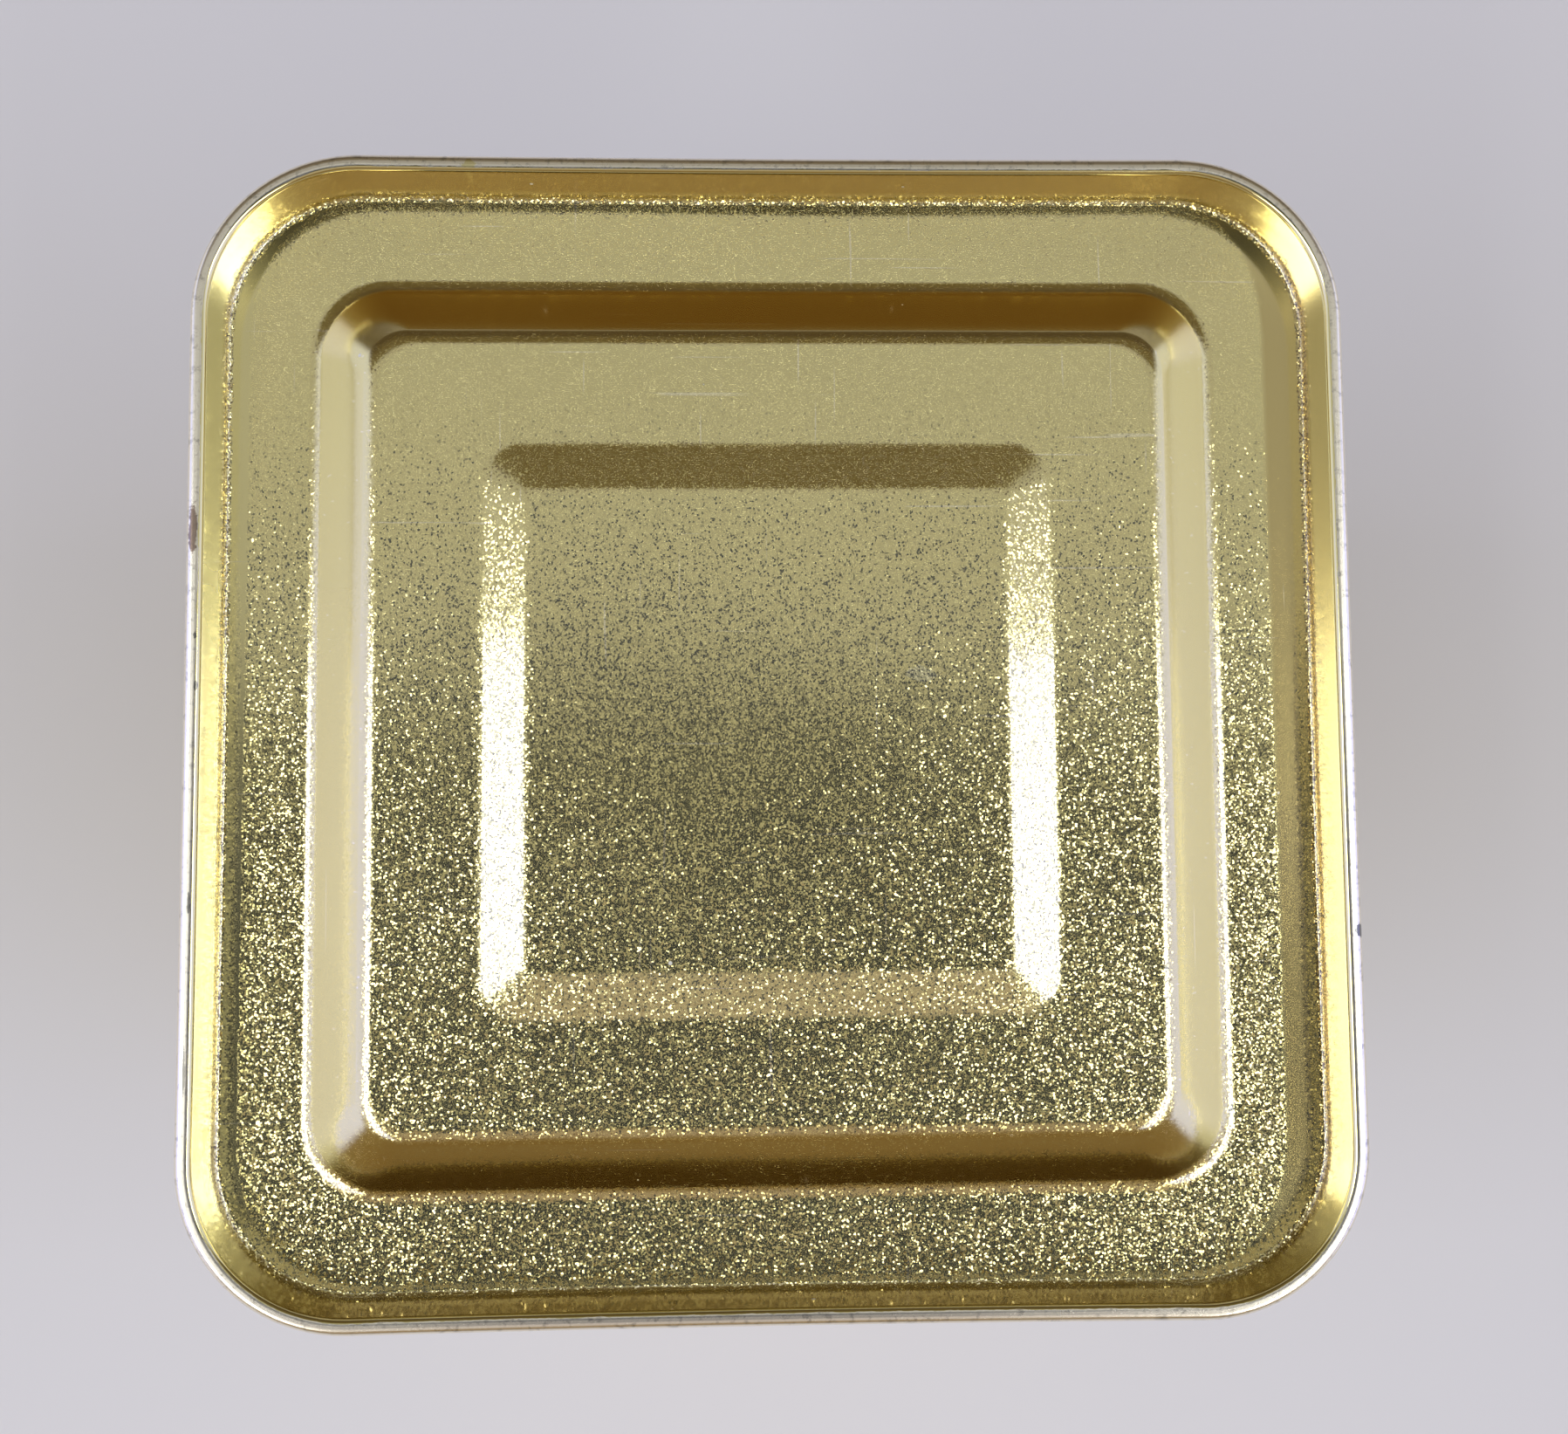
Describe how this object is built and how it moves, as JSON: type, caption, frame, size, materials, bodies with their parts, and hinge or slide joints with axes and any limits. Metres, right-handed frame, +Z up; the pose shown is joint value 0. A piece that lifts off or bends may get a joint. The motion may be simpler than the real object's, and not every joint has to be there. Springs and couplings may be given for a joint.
{
  "type": "tea tin",
  "caption": "Square tea tin with rounded corners in gold-lacquered tinplate, standing on its slip lid with the stamped, double-seamed base end up.",
  "frame": {"origin": "middle of the raised panel of the lid's top, on which the tin stands", "axes": "+Z up, from the lid to the stamped base end; +Y towards the side with the lock seam"},
  "size_m": [0.08, 0.08, 0.105],
  "materials": {
    "gold_stone_lacquer": "glossy gold lacquer over tinplate with a fine stone grain, worn to bare tin along the seam",
    "gold_wall_lacquer": "glossy gold lacquer over rolled tinplate",
    "gold_lid_lacquer": "glossy gold lacquer over drawn tinplate"
  },
  "bodies": {
    "root": {"base_end": "gold_stone_lacquer", "tin_body": "gold_wall_lacquer", "lid": "gold_lid_lacquer"}
  },
  "joints": []
}
